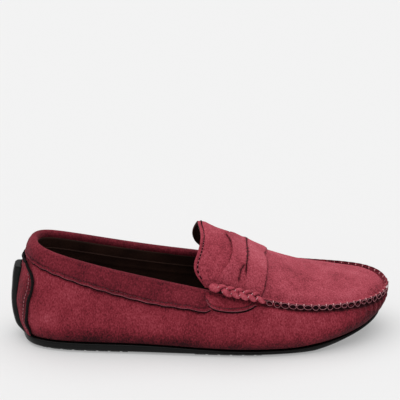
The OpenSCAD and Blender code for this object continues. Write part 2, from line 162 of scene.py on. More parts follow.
def at_wall(u, v, d):
    """The point at share v of the wall's height, d mm outwards."""
    return wall(u, v) + np.asarray(d, float)[..., None] * wall_out(u, v)


def top(p, t):
    """The instep: p runs from the throat to the toe, t from the outer edge to the inner."""
    p, t = np.broadcast_arrays(np.asarray(p, float), np.asarray(t, float))
    a, b = wall(p, 1.0), wall(1 - p, 1.0)
    m = (a + b) / 2
    h = np.maximum(0.4, np.interp(m[..., 0], CREST[:, 0], CREST[:, 1]) - m[..., 2])
    q = 2.8 - 0.6 * ease(40, 110, m[..., 0])
    out = a + (b - a) * t[..., None]
    out[..., 2] += h * (1 - np.abs(2 * t - 1)**q)
    return out


def on_top(p, t, d):
    p, t = np.broadcast_arrays(np.asarray(p, float), np.asarray(t, float))
    along = top(p + 0.002, t) - top(p - 0.002, t)
    n = unit(np.cross(along, top(p, t + 0.01) - top(p, t - 0.01)))
    return top(p, t) + np.asarray(d, float)[..., None] * n


def span(p):
    """The instep's width between its two edges."""
    return np.linalg.norm(wall(p, 1.0) - wall(1 - p, 1.0), axis=-1)


ridge_p = np.linspace(0.18, 0.4999, 1200)
ridge_x = top(ridge_p, 0.5)[:, 0]


def p_at(x):
    """The p at which the instep's ridge has this x."""
    return np.interp(x, ridge_x, ridge_p)


top_edge_x = wall(np.linspace(0, 1, 400), 1.0)[:, 0]
print("last length at the top edge", round(float(np.ptp(top_edge_x)), 1), "mm")

# %% [markdown]
# ## Small unevenness
# Hide is never even: it carries soft swells where it was stretched, and small dents. A sum of a
# few waves in set directions gives smooth unevenness at any size, the same on every run.
# Each sheet of hide is a grid of points laid on the last, and Blender's Solidify gives it its
# thickness, so its cut edge can have a finish of its own. Threads are small tubes along a path.

# %% Swell and mesh helpers


def swell(points, size, seed, waves=14):
    """Smooth values from about -1 to 1 over points in mm, with features of the given size."""
    rng = np.random.default_rng(seed)
    k = unit(rng.normal(size=(waves, 3)))
    k = k * (2 * math.pi / (size * rng.uniform(1.2, 2.8, (waves, 1))))
    phase = rng.uniform(0, 2 * math.pi, waves)
    return np.sin(points @ k.T + phase).sum(-1) / math.sqrt(waves)


def make_piece(name, points_mm, faces, materials):
    """One smooth-shaded mesh object from points in mm."""
    mesh = bpy.data.meshes.new(name)
    mesh.from_pydata((np.asarray(points_mm, float).reshape(-1, 3) * MM).tolist(), [], faces)
    mesh.validate()
    piece = bpy.data.objects.new(name, mesh)
    bpy.context.scene.collection.objects.link(piece)
    for m in materials:
        mesh.materials.append(m)
    mesh.polygons.foreach_set("use_smooth", [True] * len(mesh.polygons))
    mesh.update()
    return piece


def sheet_faces(n, m, ring=False, ring_m=False):
    """Four-sided faces over an n by m grid, closed in either direction if asked."""
    rows, cols = (n if ring else n - 1), (m if ring_m else m - 1)
    i, j = np.meshgrid(np.arange(rows), np.arange(cols), indexing="ij")
    i2, j2 = (i + 1) % n, (j + 1) % m
    return np.stack([i * m + j, i2 * m + j, i2 * m + j2, i * m + j2], -1).reshape(-1, 4).tolist()


def hide(name, grid, thick, materials, ring=False, shade=None):
    """A sheet of hide: a grid of points for its face, given a thickness and a cut edge."""
    n, m = grid.shape[:2]
    piece = make_piece(name, grid, sheet_faces(n, m, ring), materials)
    darken(piece, shade)
    solid = piece.modifiers.new("thickness", "SOLIDIFY")
    solid.thickness, solid.offset = thick * MM, -1
    if len(materials) > 1:
        solid.material_offset_rim = 1
    return piece


def darken(piece, shade):
    """Stores the painted shade at each point, for the suede to read: above zero it darkens, below
    zero it lightens.
    """
    painted_shade = piece.data.attributes.new("painted_shade", "FLOAT", "POINT")
    if shade is not None:
        values = np.ascontiguousarray(np.clip(shade, -0.4, 1), np.float32)
        painted_shade.data.foreach_set("value", values.ravel())


def cord_mesh(name, paths, radius, materials, sides=8):
    """Round threads or beads laid along several open paths, closed at both ends."""
    points, faces = [], []
    for path in paths:
        path = np.asarray(path, float)
        n = len(path)
        r = radius(np.linspace(0, 1, n)) if callable(radius) else np.full(n, radius)
        d = unit(np.gradient(path, axis=0))
        ref = np.where(np.abs(d[:, 2:3]) > 0.9, [[1.0, 0, 0]], [[0, 0, 1.0]])
        a = unit(np.cross(d, ref))
        b = np.cross(a, d)
        ang = np.linspace(0, 2 * math.pi, sides, endpoint=False)[None, :, None]
        ring = np.cos(ang) * a[:, None] + np.sin(ang) * b[:, None]
        ring = path[:, None] + r[:, None, None] * ring
        o = sum(len(p) for p in points)
        points.append(ring.reshape(-1, 3))
        faces += [[o + x for x in f] for f in sheet_faces(n, sides, ring_m=True)]
        faces.append([o + k for k in range(sides)][::-1])
        faces.append([o + (n - 1) * sides + k for k in range(sides)])
    return make_piece(name, np.concatenate(points), faces, materials)


def smoothed(values, half):
    """A running mean over half values on each side, with the ends held."""
    width = 2 * half + 1
    return np.convolve(np.pad(values, half, mode="edge"), np.ones(width) / width, mode="valid")


def pulled_in(depth, n=5):
    """How far each point of a short stitch sinks, most at its two ends."""
    return depth * np.abs(np.linspace(-1, 1, n))**3


def place(piece, slot, *nodes, pad=None):
    """Puts a piece on the shoe's one body, in place of its CAD nodes."""
    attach(piece, "root")
    if nodes:
        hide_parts(*nodes)
    return piece


print("helpers ready; swell at the origin", round(float(swell(np.zeros(3), 30, 7)), 3))

# %% [markdown]
# ## Materials
# Suede is the flesh side of a split hide, buffed with fine abrasive so that its fibres stand up as
# a nap. The eye gets three things from it: no hard highlight, a soft pale rim where fibres catch
# light edge-on (sheen), and cloudy patches where the nap lies in different directions.
# Noise textures in object space work in metres, so each scale is one over a real size.

# %% Node helper


def linear(hex_colour):
    """An sRGB hex colour as linear red, green, blue and full alpha."""
    c = [int(hex_colour[i:i + 2], 16) / 255 for i in (1, 3, 5)]
    return tuple(x / 12.92 if x <= 0.04045 else ((x + 0.055) / 1.055)**2.4 for x in c) + (1.0,)


def add_node(tree, kind, settings=None, links=None):
    """Adds one node: settings by attribute name, links or values by input name or number."""
    n = tree.nodes.new(kind)
    for k, v in (settings or {}).items():
        setattr(n, k, v)
    for k, v in (links or {}).items():
        if isinstance(v, bpy.types.NodeSocket):
            tree.links.new(v, n.inputs[k])
        else:
            n.inputs[k].default_value = v
    return n


def new_material(name):
    """An empty material and its node tree."""
    m = bpy.data.materials.new(name)
    m.use_nodes = True
    m.node_tree.nodes.clear()
    return m, m.node_tree


def set_ramp(ramp, stops):
    """Gives a colour ramp its stops, each a place and a colour."""
    e = ramp.color_ramp.elements
    while len(e) < len(stops):
        e.new(0.5)
    for item, (at, colour) in zip(e, stops):
        item.position = at
        item.color = colour


print("mid burgundy, linear", [round(x, 3) for x in linear("#8c2b38")])

# %% [markdown]
# ### Suede
# Calf split, drum-dyed burgundy and buffed. Its colour runs through five tones, from a near-black
# that painted shade reaches to the pale fleck of a raised fibre. Four patterns add up to one tone:
# clouds of lying nap (about 30 mm), brush marks (6 mm), tufts (1 mm) and fibres (0.45 mm). Real
# tufts and fibres are about half that size, and are drawn coarser so that they show. Each mesh also
# stores painted shade, which lowers the tone in folds, along edges and stitch lines and under
# overlapping parts, where shade falls; below zero it paints light instead. Real suede has an IOR
# near 1.45 and a roughness near 0.9, and a little sheen stands for its lit fibres.

# %% Suede


def brushed_suede(name, crease_shade, deep, body, lifted, fleck, seed=0.0, cloud=0.030):
    """Burgundy calf suede in five tones. The seed moves the pattern, cloud is its size in m."""
    m, t = new_material(name)
    where = add_node(t, "ShaderNodeTexCoord").outputs["Object"]
    moved = add_node(t, "ShaderNodeMapping", links={
        0: where, 1: (seed, seed * 0.7, -seed)}).outputs[0]
    lying = add_node(t, "ShaderNodeMapping", links={0: moved, 3: (1.0, 1.0, 0.6)}).outputs[0]
    clouds = add_node(t, "ShaderNodeTexNoise", links={
        "Vector": moved, "Scale": 1 / cloud, "Detail": 2.5, "Roughness": 0.45}).outputs["Fac"]
    brush = add_node(t, "ShaderNodeTexNoise", links={
        "Vector": lying, "Scale": 1 / 0.006, "Detail": 4, "Roughness": 0.65,
        "Distortion": 0.6}).outputs["Fac"]
    tuft = add_node(t, "ShaderNodeTexNoise", links={
        "Vector": lying, "Scale": 1 / 0.0010, "Detail": 2.0, "Roughness": 0.6}).outputs["Fac"]
    fibre = add_node(t, "ShaderNodeTexNoise", links={
        "Vector": moved, "Scale": 1 / 0.00045, "Detail": 1, "Roughness": 0.5}).outputs["Fac"]
    # painted shade stored on the mesh: above zero it lowers the tone, below zero it lifts it
    painted_shade = add_node(t, "ShaderNodeAttribute", {"attribute_name": "painted_shade"}).outputs["Fac"]
    tone = add_node(t, "ShaderNodeMath", {"operation": "MULTIPLY"}, {0: clouds, 1: 0.65}).outputs[0]
    for pattern, share in ((brush, 0.4), (tuft, 1.1), (fibre, 0.45), (painted_shade, -0.6)):
        tone = add_node(t, "ShaderNodeMath", {"operation": "MULTIPLY_ADD"}, {
            0: pattern, 1: share, 2: tone}).outputs[0]
    tone = add_node(t, "ShaderNodeMapRange", links={
        0: tone, 1: 0.775, 2: 1.835, 3: 0.0, 4: 1.0}).outputs[0]
    # the darkest stop is the painted shade of deep folds
    ramp = add_node(t, "ShaderNodeValToRGB", links={0: tone})
    set_ramp(ramp, [(0.0, linear(crease_shade)), (0.24, linear(deep)), (0.5, linear(body)),
                    (0.8, linear(lifted)), (1.0, linear(fleck))])
    nap = add_node(t, "ShaderNodeMath", {"operation": "MULTIPLY_ADD"}, {
        0: fibre, 1: 0.5, 2: tuft}).outputs[0]
    relief = add_node(t, "ShaderNodeBump", links={
        "Height": nap, "Strength": 0.75, "Distance": 0.0006})
    rough = add_node(t, "ShaderNodeMapRange", links={0: tuft, 3: 0.84, 4: 1.0}).outputs[0]
    shader = add_node(t, "ShaderNodeBsdfPrincipled", links={
        "Base Color": ramp.outputs[0], "Roughness": rough, "Normal": relief.outputs[0],
        "IOR": 1.45, "Specular IOR Level": 0.14, "Sheen Weight": 0.2, "Sheen Roughness": 0.55,
        "Sheen Tint": linear("#d9808c")})
    add_node(t, "ShaderNodeOutputMaterial", links={0: shader.outputs[0]})
    return m


SUEDE_SIDE = brushed_suede(
    "burgundy_suede_side", "#29090f", "#611923", "#8c2b38", "#aa4451", "#c86d79")
# A lighter copy of the side suede for the apron and strap, which face up: painted light, on top of
# what the overhead lamp gives them.
SUEDE_TOP_PAINTED_LIGHT = brushed_suede(
    "burgundy_suede_top_painted_light", "#40111a", "#832e39", "#ab4553", "#c4616e", "#dc8a94", 0.31, 0.022)
SUEDE_COLLAR = brushed_suede(
    "burgundy_suede_collar", "#230810", "#541620", "#78232f", "#983946", "#b8606b", 0.77)
SUEDE_TONGUE = brushed_suede(
    "burgundy_suede_tongue", "#3a0f17", "#7a2833", "#a63f4d", "#c15a67", "#d8828c", 0.53)
print("suede finishes", len(bpy.data.materials))

# %% [markdown]
# ### The other finishes
# The cut edge of suede shows its fibres end-on, so it is paler and pinker than the face. At the
# heel patch the cut edge is painted black instead, a common way to seal it. The lining is smooth
# drum-dyed leather, the sole is moulded rubber with a satin skin, and the threads are waxed
# polyester. All have one build: two close colours mixed by a fine grain, with a slight relief.

# %% Cut edges, lining, rubber and thread


def plain_finish(name, low, high, size, roughness, bump=0.3, sheen=0.0, specular=0.5):
    """One moulded, tanned or spun finish: two close colours mixed at a grain size in m."""
    m, t = new_material(name)
    where = add_node(t, "ShaderNodeTexCoord").outputs["Object"]
    grain = add_node(t, "ShaderNodeTexNoise", links={
        "Vector": where, "Scale": 1 / size, "Detail": 4, "Roughness": 0.6}).outputs["Fac"]
    broad = add_node(t, "ShaderNodeTexNoise", links={
        "Vector": where, "Scale": 1 / (size * 14), "Detail": 2}).outputs["Fac"]
    both = add_node(t, "ShaderNodeMath", {"operation": "MULTIPLY_ADD"}, {
        0: grain, 1: 0.6, 2: broad}).outputs[0]
    tone = add_node(t, "ShaderNodeMapRange", links={0: both, 1: 0.5, 2: 1.1}).outputs[0]
    ramp = add_node(t, "ShaderNodeValToRGB", links={0: tone})
    set_ramp(ramp, [(0.0, linear(low)), (1.0, linear(high))])
    rough = add_node(t, "ShaderNodeMapRange", links={
        0: both, 1: 0.5, 2: 1.1, 3: roughness - 0.07, 4: roughness + 0.09}).outputs[0]
    relief = add_node(t, "ShaderNodeBump", links={
        "Height": grain, "Strength": bump, "Distance": 0.0002})
    shader = add_node(t, "ShaderNodeBsdfPrincipled", links={
        "Base Color": ramp.outputs[0], "Roughness": rough, "Normal": relief.outputs[0],
        "Specular IOR Level": specular, "Sheen Weight": sheen})
    add_node(t, "ShaderNodeOutputMaterial", links={0: shader.outputs[0]})
    return m


CUT_EDGE = plain_finish(
    "suede_cut_edge", "#6c2430", "#9c4854", 0.0008, 0.95, sheen=0.3, specular=0.2)
BLACK_EDGE = plain_finish("black_painted_edge", "#0a0708", "#181112", 0.0012, 0.75, specular=0.12)
LINING = plain_finish(
    "dark_lining_leather", "#241612", "#432b23", 0.0011, 0.72, bump=0.5, specular=0.15)
SOCK = plain_finish(
    "dark_sock_leather", "#2c1c18", "#4a332c", 0.0011, 0.74, bump=0.5, specular=0.15)
RUBBER = plain_finish(
    "moulded_black_rubber", "#050505", "#0e0e0e", 0.0009, 0.36, bump=0.2, specular=0.18)
THREAD = plain_finish("waxed_rose_thread", "#c47d86", "#e3a9ae", 0.0006, 0.7, specular=0.4)
THREAD_DARK = plain_finish("waxed_burgundy_thread", "#3f1018", "#6c2430", 0.0006, 0.75)
# Near-black burgundy: painted shade under raw edges, in needle holes, under the slot and round the
# plait's core; in the seam's gapes it also stands for the edges' own dark.
SHADE_AND_DARK_EDGE = plain_finish("dark_burgundy_shade_and_edge", "#14060a", "#2c0d13", 0.0012, 0.9, specular=0.06)
THREAD_MID = plain_finish("waxed_wine_thread", "#8a4550", "#b9767e", 0.0006, 0.75)

print("finishes in all", len(bpy.data.materials))

# %% [markdown]
# ## Sole and heel guard
# A driving shoe has a thin moulded rubber sole with a low side wall, and a rubber guard that runs
# up the back of the heel, where the foot pivots on the car's floor. Moulded rubber has slightly
# rounded corners, which catch a thin satin light. A box cut to the outline would have sharp
# corners, so the unit is a profile swept round the feather edge instead, and its underside
# follows the toe spring.

# %% Outsole


SOLE_PROFILE = [  # mm out from the feather edge, measured from underside (0) or top (1), mm up
    (-30, 0, 0), (-6, 0, 0), (-1.2, 0, 0.0), (0.4, 0, 0.35), (1.25, 0, 1.1), (1.6, 0, 2.0),
    (1.65, 1, -1.9), (1.45, 1, -0.9), (0.9, 1, -0.35), (0.1, 1, -0.2), (-3, 1, -0.25),
    (-12, 1, -0.25)]


def edge_ring(u, inset):
    """The feather edge in plan, moved inwards by the inset in mm."""
    p, q = station(u), station(u + 0.002) - station(u - 0.002)
    n = unit(np.stack([q[..., 1], -q[..., 0]], -1))
    return p[..., :2] - n * np.asarray(inset, float)[..., None]


def build_outsole():
    n, m = 480, len(SOLE_PROFILE)
    u = np.linspace(0, 1, n, endpoint=False)
    rows = []
    for out, from_top, up in SOLE_PROFILE:
        ring = edge_ring(u, np.full_like(u, -out))
        x = ring[:, 0]
        # the unit is thinner under the toe
        underside = np.maximum(1.2, ground_z(x)) + 1.5 * ease(72, 118, x)
        rows.append(np.column_stack([ring, (sole_z(x) if from_top else underside) + up]))
    faces = sheet_faces(n, m, ring=True)
    # strips from side to side close the underside and the top
    for k in range(n // 2 - 1):
        crossing = (k, (n - k) % n, n - k - 1, k + 1)
        for column, flip in ((0, False), (m - 1, True)):
            corners = list(dict.fromkeys(i * m + column for i in crossing))
            faces.append(corners[::-1] if flip else corners)
    piece = make_piece("outsole_unit", np.stack(rows, 1), faces, [RUBBER])
    return place(piece, "rubber", "outsole")


outsole = build_outsole()
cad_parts["tread_plates"].data.materials.clear()
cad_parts["tread_plates"].data.materials.append(RUBBER)
print("outsole", [round(x * 1000, 1) for x in outsole.dimensions])

# %% [markdown]
# ### Heel guard
# The guard is one strip of the sole's rubber, moulded with it and glued up the back seam. It is
# broad where it leaves the sole and thickest near its blunt top. A swept bar wouldn't follow the
# heel, so it is a grid laid on the last: its outer face is lifted, its edges rounded off, and a
# second face underneath closes it.

# %% Heel guard
GUARD_TOP = 0.685  # share of the heel's height
GUARD_REACH = 0.0140  # share of the way round the last, each side


def build_heel_guard():
    k = np.linspace(-1, 1, 41)
    v = np.linspace(-0.035, GUARD_TOP, 70)
    K, V = np.meshgrid(k, v, indexing="ij")
    round_off = np.clip(1 - np.abs(K)**6, 0, 1)**0.5
    top_round = np.sqrt(np.clip((GUARD_TOP - V) / 0.03, 0, 1))
    thick = 3.6 + 1.3 * ease(0.42, 0.64, V)
    lift = 1.9 + thick * round_off * np.clip(0.25 + top_round, 0, 1) * ease(-0.06, 0.1, V)
    spread = GUARD_REACH * (1 + 0.75 * (1 - ease(0.0, 0.32, V)))
    grid = at_wall(spread * K, V, lift)
    low = at_wall((spread * K)[:, ::-1], V[:, ::-1], 1.72 + 0 * K)
    loop = np.concatenate([grid, low], 1)
    n, m = loop.shape[:2]
    faces = sheet_faces(n, m, ring_m=True)
    for i in (0, n - 1):  # the two long edges
        for j in range(len(v) - 1):
            corners = [i * m + j, i * m + j + 1, i * m + (m - 2 - j), i * m + (m - 1 - j)]
            faces.append(corners if i else corners[::-1])
    return place(make_piece("heel_guard_strip", loop, faces, [RUBBER]), "rubber", "heel_guard")


heel_guard = build_heel_guard()
print("heel guard height", round(heel_guard.dimensions.z * 1000, 1), "mm")

# %% [markdown]
# ## The seam round the apron
# The wrap's edge and the apron's edge are brought together, stood up, and whipped with thread. The
# thread pulls the hides in at each stitch, so the wrap puckers, and between stitches the two edges
# gape and show the dark inside. Stitches are spaced by length along the seam, as a worker does
# it, so every piece that meets the seam reads the same stitch count and puckers in step.

# %% Seam spacing
edge_u = np.linspace(0, 1, 4001)
edge_steps = np.linalg.norm(np.diff(wall(edge_u, 1.0), axis=0), axis=1)
edge_arc = np.concatenate([[0], np.cumsum(edge_steps)])  # mm along the top edge
seam_start_u = 0.3185
seam_pitch = 5.75  # mm
seam_first = float(np.interp(seam_start_u, edge_u, edge_arc))
seam_last = float(np.interp(1 - seam_start_u, edge_u, edge_arc))
seam_count = int(round((seam_last - seam_first) / seam_pitch))


def seam_phase(u):
    """Stitches counted from the seam's outer end to the point u."""
    along = np.interp(np.asarray(u) % 1.0, edge_u, edge_arc)
    return (along - seam_first) / (seam_last - seam_first) * seam_count


def seam_u(phase):
    """The point u at which that many stitches have passed."""
    along = seam_first + np.asarray(phase) / seam_count * (seam_last - seam_first)
    return np.interp(along, edge_arc, edge_u)


def seam_window(u):
    """1 along the whipped seam, 0 under the saddle and the collar."""
    k = np.minimum(np.asarray(u) % 1.0, 1 - np.asarray(u) % 1.0)
    return ease(seam_start_u - 0.012, seam_start_u + 0.004, k)


def toe_pull(u):
    """How strongly the hide is gathered: most round the toe."""
    return ease(0.36, 0.47, np.minimum(u % 1.0, 1 - u % 1.0))


print("seam stitches", seam_count)

# %% [markdown]
# ### Moccasin wrap
# The wrap is one hide pulled up from under the foot all the way round. It could be a smooth
# sheet with a bump texture for its puckers, but the seam's scalloped edge shows against the
# light, so the puckers are in the mesh. Rows run from the turned-in foot edge up the wall and end
# in a short edge that stands up, scooped between stitches. A real one has
# a groove just below the seam, a soft puff under it, and gathers that are deepest at the toe.

# %% Moccasin wrap
COLLAR_END = 0.262  # how far round the last, each side, the collar band reaches


def wrap_top_s(u):
    """The wrap's upper edge, mm below the top edge: lower under the collar band."""
    k = np.minimum(u % 1.0, 1 - u % 1.0)
    return 6.5 + (1.6 - 6.5) * ease(0.255, 0.268, k)


def band_depth(u):
    """How far below the top edge the band's lower edge lies, in mm, with its cutting wobble."""
    u = np.asarray(u)
    k = np.abs(u) / COLLAR_END
    depth = 17.6 - 1.7 * ease(0.72, 0.95, k) - 2.6 * ease(0.965, 0.995, k)
    return depth - 5.2 * (1 - ease(0.0, 0.78, k)) + 0.22 * np.sin(340 * u)


def build_wrap():
    u = np.linspace(0, 1, 900, endpoint=False)
    h, s_top = wall_height(u), wrap_top_s(u)
    side_u = np.where(u > 0.5, u - 1, u)
    # the two rows turned in under the foot carry heavy painted shade
    rows, shade = [], [0.8 + 0 * u, 0.8 + 0 * u]
    toe, win = toe_pull(u), seam_window(u)
    c = np.cos(2 * math.pi * seam_phase(u))
    # turned in under the foot, then up the wall
    for turned_in in (9.0, 2.0):
        under = edge_ring(u, np.full_like(u, turned_in))
        rows.append(np.column_stack([under, sole_z(under[:, 0]) + 0.1]))
    shares = np.concatenate([[0.006, 0.02], np.linspace(0.04, 0.8, 44), np.linspace(0.82, 1.0, 30)])
    for k in shares:
        s = h - (h - s_top) * k
        base = on_wall(u, s, 0 * u)
        d = 0.45 * swell(base, 34, 3) + 0.16 * swell(base, 9, 4)
        d = d * ease(0.0, 0.12, k) - 0.9 * (1 - ease(0.0, 0.06, k))
        groove = -1.2 * np.exp(-((s - 2.4) / 1.4)**2) * (1.0 - 0.3 * c)
        puff = 0.45 * np.exp(-((s - 6.2) / 2.6)**2) * (1 + (0.15 + 0.6 * toe) * c)
        gather = (0.14 + 0.5 * toe) * c * (s > 1.0)
        gather = gather * np.exp(-np.maximum(s - 3, 0) / (4.0 + 5 * toe))
        d = d + win * (groove + puff + 0.55 * gather)
        under_band = np.exp(-((s - band_depth(side_u) - 1.2) / 1.1)**2) * (np.abs(side_u) < 0.253)
        d = d - 0.6 * under_band
        face = on_wall(u, s, d)
        rows.append(face)
        # painted shade: darker near the sole, towards the toe, just under the seam and under the
        # collar band's edge
        low = np.exp(-((h - s) / 9.0)**2)
        toe_shade = 0.42 * ease(92, 138, face[:, 0]) * (face[:, 1] < 60)
        below_seam = 1.0 * win * np.exp(-((s - 2.2) / 1.9)**2)
        # painted highlight: lighter on the fullest parts of the side, at the heel and at the ball
        painted_highlight = np.exp(-((face[:, 0] + 106) / 24)**2) + np.exp(-((face[:, 0] - 68) / 22)**2)
        painted_highlight = 0.22 * painted_highlight * ease(8, 20, h - s)
        shade.append(0.75 * low + toe_shade + below_seam + 0.7 * under_band - painted_highlight)
    # the stood-up edge, scooped between stitches
    foot = rows[-1]
    out = wall_out(u, 0.97 + 0 * u)
    flat_out = unit(out * [1, 1, 0])
    rise = unit(flat_out * 0.30 + np.array([0, 0, 1.0]))
    scoop = 0.5 + 0.5 * c
    full = 0.35 + 2.75 * win * (1 - 0.72 * scoop**0.7) + 0.5 * (1 - win)
    for k in (0.25, 0.5, 0.75, 1.0):
        rows.append(foot + rise * (full * k)[:, None]
                    + flat_out * (0.25 * win * math.sin(math.pi * k) * (1 + scoop))[:, None])
        # painted shade on the stood-up edge, deepest in its scoops
        shade.append(0.25 + 0.3 * win * scoop)
    grid = np.stack(rows, 1)
    shade = np.stack(shade, 1)
    piece = hide("wrap_hide", grid, 1.4, [SUEDE_SIDE, CUT_EDGE], ring=True, shade=shade)
    return place(piece, "suede", "moccasin_wrap")


wrap = build_wrap()
print("wrap points", len(wrap.data.vertices))

# %% [markdown]
# ### Apron
# The apron is the flat plug over the toes. Its edge is lifted by the whip stitch, with a shallow
# valley just inside. How far a point lies from the seam decides its height, so that distance is
# measured in plan for every point of the grid. On the inner side of the foot the edge stands
# higher, and its face towards the apron, which lies in shade, is painted darker so that it shows
# as a dark rim. Painted shade also darkens the valley and, in step with the stitches, the puckers
# near the toe.

# %% Apron


def seam_distance(points):
    """Distance in plan to the top edge, in mm, and the place along it."""
    near_u = np.linspace(0.24, 0.76, 1500)
    seam = wall(near_u, 1.0)[:, :2]
    flat = points.reshape(-1, 3)[:, :2]
    best, at = np.full(len(flat), 1e9), np.zeros(len(flat))
    for i in range(0, len(flat), 4000):
        d = ((flat[i:i + 4000, None] - seam[None])**2).sum(-1)
        j = d.argmin(1)
        best[i:i + 4000] = np.sqrt(d[np.arange(len(j)), j])
        at[i:i + 4000] = near_u[j]
    return best.reshape(points.shape[:-1]), at.reshape(points.shape[:-1])


def build_apron():
    p = np.concatenate([np.linspace(0.2975, 0.47, 210), np.linspace(0.4706, 0.4968, 90)])
    t = 0.5 * (1 - np.cos(np.linspace(0, math.pi, 190)))
    inset = np.minimum(0.42, 0.55 / span(p))
    T = inset[:, None] + (1 - 2 * inset[:, None]) * t[None]
    P = np.broadcast_to(p[:, None], T.shape)
    grid = top(P, T)
    e, at = seam_distance(grid)
    win, toe = seam_window(at), toe_pull(at)
    c = np.cos(2 * math.pi * seam_phase(at))
    far = ease(-6, 22, grid[..., 1])
    lift = (1.2 + 2.0 * far) * np.exp(-((e - 0.3) / 1.2)**2)
    lift -= (0.7 + 0.9 * far) * np.exp(-((e - 3.2) / 1.9)**2)
    lift += 0.4 * np.exp(-((e - 7.5) / 3.2)**2)
    lift += (0.12 + 0.2 * toe) * c * np.exp(-((e - 3.2) / 2.4)**2)
    lift = lift * win - 0.9 * (1 - win) * np.exp(-(e / 3)**2)
    lift += 0.45 * swell(grid, 30, 7) * ease(1, 8, e) + 0.12 * swell(grid, 8, 8) * ease(1, 6, e)
    grid[..., 2] += lift
    # painted shade: the valley inside the seam, the inner side's stood-up edge, and the puckers
    # near the toe
    shade = win * (0.15 * np.exp(-((e - 2.6) / 1.2)**2) + 0.65 * far * np.exp(-(e / 3.5)**4))
    shade += 0.1 * toe * np.exp(-((e - 3) / 4)**2) * c
    plug = hide("apron_plug", grid, 1.4, [SUEDE_TOP_PAINTED_LIGHT, CUT_EDGE], shade=shade)
    return place(plug, "suede_light", "apron")


apron = build_apron()
print("apron verts", len(apron.data.vertices))

# %% [markdown]
# ### Threads of the apron seam
# Between two stitches the edges gape in a small oval, with the thread lying round it and one
# thicker bar of thread over the edges at each stitch. Even ovals would look machined, so each
# varies a little, by a seeded draw. Each oval is a dark dished sheet, and a strip of black edge
# lies
# behind them: the dark of the gapes is partly the edges' own dark and partly painted shade.

# %% Dark inside of the seam, and its threads


def seam_point(phase, out_mm, up_mm):
    """A point at a stitch count along the seam, with mm outwards and up from the edges' foot."""
    u = seam_u(phase)
    out = unit(wall_out(u, 0.97 + 0 * u) * [1, 1, 0])
    foot = on_wall(u, 1.6 + 0 * u, 0 * u)
    return foot + out * np.asarray(out_mm)[..., None] + UP * np.asarray(up_mm)[..., None]


def build_seam():
    ph = np.linspace(0.02, seam_count - 0.02, 1600)
    rows = [seam_point(ph, -0.75 + 0 * ph, z + 0 * ph) for z in (-1.0, 0.2, 1.2, 1.9)]
    place(hide("seam_inside_edge", np.stack(rows, 1), 0.5, [BLACK_EDGE]), "lining")
    loops, bars, points, faces = [], [], [], []
    a = np.linspace(0, 2 * math.pi, 25)
    rings = (0.05, 0.4, 0.75, 1.0)
    rng = np.random.default_rng(11)
    for k in range(1, seam_count):
        wide, tall = 0.47 + rng.uniform(-0.11, 0.03), 2.0 + rng.uniform(-0.45, 0.3)
        mid_z, lean = 1.5 + rng.uniform(-0.15, 0.15), rng.uniform(-0.2, 0.2)
        oval_x, oval_z = wide * np.cos(a), tall * np.sin(a) * (1 + lean * np.cos(a))
        # the gap the thread holds open: a dark dished oval, partly painted shade, with its loop
        # round it
        base = len(points) * 24
        for ring in rings:
            points.append(seam_point(k + ring * oval_x[:-1], 0.2 + 0.35 * ring**2 + 0 * a[:-1],
                                     mid_z + ring * oval_z[:-1]))
        for f in sheet_faces(24, len(rings), ring=True):
            # the points lie ring by ring, so the grid is turned
            faces.append([base + (i % len(rings)) * 24 + i // len(rings) for i in f][::-1])
        faces.append([base + j for j in range(24)][::-1])
        loops.append(seam_point(k + oval_x, 0.6 + 0 * a, mid_z + oval_z))
        q = np.linspace(0, 1, 6)
        start = 0.5 - 0.4 * toe_pull(seam_u(k + 0.5))
        over = 2.1 + 1.2 * np.sin(math.pi * (0.15 + 0.7 * q))
        bars.append(seam_point(k + 0.5 + 0.05 * (q - 0.5), start - (start + 1.7) * q, over))
        # on the inner side of the foot the apron's edge stands higher, and the thread lies over it
        if seam_point(k + 0.5, 0.0, 0.0)[1] > 14:
            bars.append(seam_point(k + 0.5 + 0.04 * (q - 0.5), -0.5 - 1.3 * q, 4.0 - 0.9 * q**2))
    place(make_piece("apron_seam_gaps", np.concatenate(points), faces, [SHADE_AND_DARK_EDGE]), "lining")
    place(cord_mesh("apron_seam_loops", loops, 0.21, [THREAD_MID], sides=6), "thread")
    whip = cord_mesh("apron_seam_whip", bars, lambda x: 0.5 - 0.2 * np.abs(2 * x - 1), [THREAD])
    place(whip, "thread", "apron_seam_thread")
    return len(loops), len(bars)


print("seam loops and whip bars", build_seam())

# %% [markdown]
# ## Collar
# The topline is finished with a wide band of the same suede, folded over a soft foam core and sewn
# down. Foam makes the fold full and round, and the band's cut lower edge stands off the wrap and
# casts a thin shadow, which a dark cord under the edge paints deeper. A folded sheet simulated over
# foam would come out much the same at this size, so the fold is drawn as a profile and swept round
# the topline, with soft swells for foam. Painted shade darkens the band's stitch groove and its
# lower part, and a painted highlight runs just above its lower edge.

# %% Collar band


def collar_profile(width, tall, tuck):
    """Distances below the top edge and outwards, from the outer lower edge over to the inside."""
    c = width / 2
    mid = 1.7 - c
    a = np.linspace(0, math.pi, 19)
    s = np.concatenate([np.linspace(tall, c + 1.2, 16), c - c * np.sin(a),
                        np.linspace(c + 0.2, tuck, 8)])
    d = np.concatenate([np.full(16, mid + c), mid + c * np.cos(a), np.full(8, mid - c)])
    return s, d


